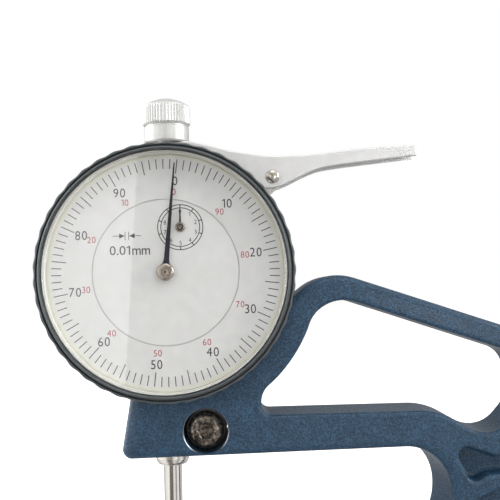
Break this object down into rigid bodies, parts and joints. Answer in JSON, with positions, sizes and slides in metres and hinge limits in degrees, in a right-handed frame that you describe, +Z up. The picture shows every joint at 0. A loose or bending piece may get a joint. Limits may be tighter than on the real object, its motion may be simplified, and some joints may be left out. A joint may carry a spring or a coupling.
{
  "type": "dial thickness gauge",
  "caption": "Dial thickness gauge: cast C-frame with a thumb loop, a dial head clamped above a flat anvil, and a thumb lever that lifts the spindle.",
  "frame": {"origin": "point of the frame's flat foot straight below the spindle, on the spindle axis", "axes": "+Z up along the spindle, the dial faces -Y, the throat opens towards -X and the heel is at +X"},
  "size_m": [0.1269, 0.0236, 0.123],
  "materials": {
    "frame_paint": "hammered blue enamel",
    "black_plastic": "moulded black",
    "black_oxide": "black oxide",
    "steel": "turned",
    "ground_steel": "ground and polished",
    "carbide": "lapped",
    "aluminium": "satin",
    "brass": "turned",
    "spring_steel": "blued",
    "dial_white": "matt white with printed graduations",
    "hand_blue": "dark enamel",
    "clear": "clear acrylic",
    "bright": "polished"
  },
  "bodies": {
    "gauge_body": {"frame_casting": "frame_paint", "anvil": "ground_steel", "anvil_lock_screw": "black_oxide", "clamp_screw": "black_oxide", "clamp_bush_front": "steel", "clamp_bush_rear": "steel", "case_body": "aluminium", "stem": "steel", "lower_spindle_bush": "brass", "upper_spindle_bush": "steel", "back_cover": "aluminium", "rear_plate": "brass", "front_plate": "brass", "pinion_bridge": "brass", "dial_plate": "dial_white", "spring_post": "steel", "guide_rail": "steel", "hairspring": "spring_steel", "hairspring_stud": "brass", "spindle_spring": "spring_steel", "bezel_spring_ring": "spring_steel", "lever_bracket": "steel", "lever_pin": "steel", "back_cover_screw_1": "steel", "back_cover_screw_2": "steel", "back_cover_screw_3": "steel", "back_cover_screw_4": "steel", "plate_pillar_1": "brass", "plate_screw_1": "steel", "plate_pillar_2": "brass", "plate_screw_2": "steel", "plate_pillar_3": "brass", "plate_screw_3": "steel", "bracket_screw_1": "steel", "bracket_screw_2": "steel"},
    "spindle_set": {"spindle": "ground_steel", "contact_point": "carbide", "guide_pin": "steel", "lift_knob": "aluminium"},
    "drive_wheel": {"rack_pinion": "steel", "drive_gear": "brass"},
    "hand_arbor": {"centre_pinion": "steel", "main_hand": "hand_blue", "hand_hub": "bright"},
    "counter_arbor": {"take_up_arbor": "steel", "take_up_gear": "brass", "counter_hand": "hand_blue"},
    "bezel": {"bezel_ring": "black_plastic", "scale_ring": "dial_white", "crystal": "clear", "dial_retaining_ring": "bright"},
    "lever": {"lift_lever": "aluminium"}
  },
  "joints": [
    {"name": "spindle_slide", "type": "slide", "parent": "gauge_body", "child": "spindle_set", "axis": [0, 0, 1], "range_m": [0, 0.01], "stiffness_N_per_m": 30, "springref_m": -0.02, "deforming": ["spindle_spring"]},
    {"name": "drive_spin", "type": "hinge", "parent": "gauge_body", "child": "drive_wheel", "pos_m": [-0.00354, 0, 0.06964], "axis": [0, 1, 0], "range_deg": [-361, 1]},
    {"name": "hand_spin", "type": "hinge", "parent": "gauge_body", "child": "hand_arbor", "pos_m": [0, 0, 0.08], "axis": [0, 1, 0], "range_deg": [-5, 3605]},
    {"name": "counter_spin", "type": "hinge", "parent": "gauge_body", "child": "counter_arbor", "pos_m": [0.00354, 0, 0.09036], "axis": [0, 1, 0], "range_deg": [-361, 1]},
    {"name": "lever_pivot", "type": "hinge", "parent": "gauge_body", "child": "lever", "pos_m": [0.0257, 0, 0.1028], "axis": [0, 1, 0], "range_deg": [0, 24.7]},
    {"name": "bezel_turn", "type": "hinge", "parent": "gauge_body", "child": "bezel", "pos_m": [0, 0, 0.08], "axis": [0, 1, 0], "continuous": true}
  ],
  "couplings": [
    {"joint": "drive_spin", "follows": "spindle_slide", "rad_per_m": -628.32},
    {"joint": "hand_spin", "follows": "spindle_slide", "rad_per_m": 6283.2},
    {"joint": "counter_spin", "follows": "spindle_slide", "rad_per_m": -628.32},
    {"joint": "lever_pivot", "follows": "spindle_slide", "rad_per_m": 42.935}
  ]
}
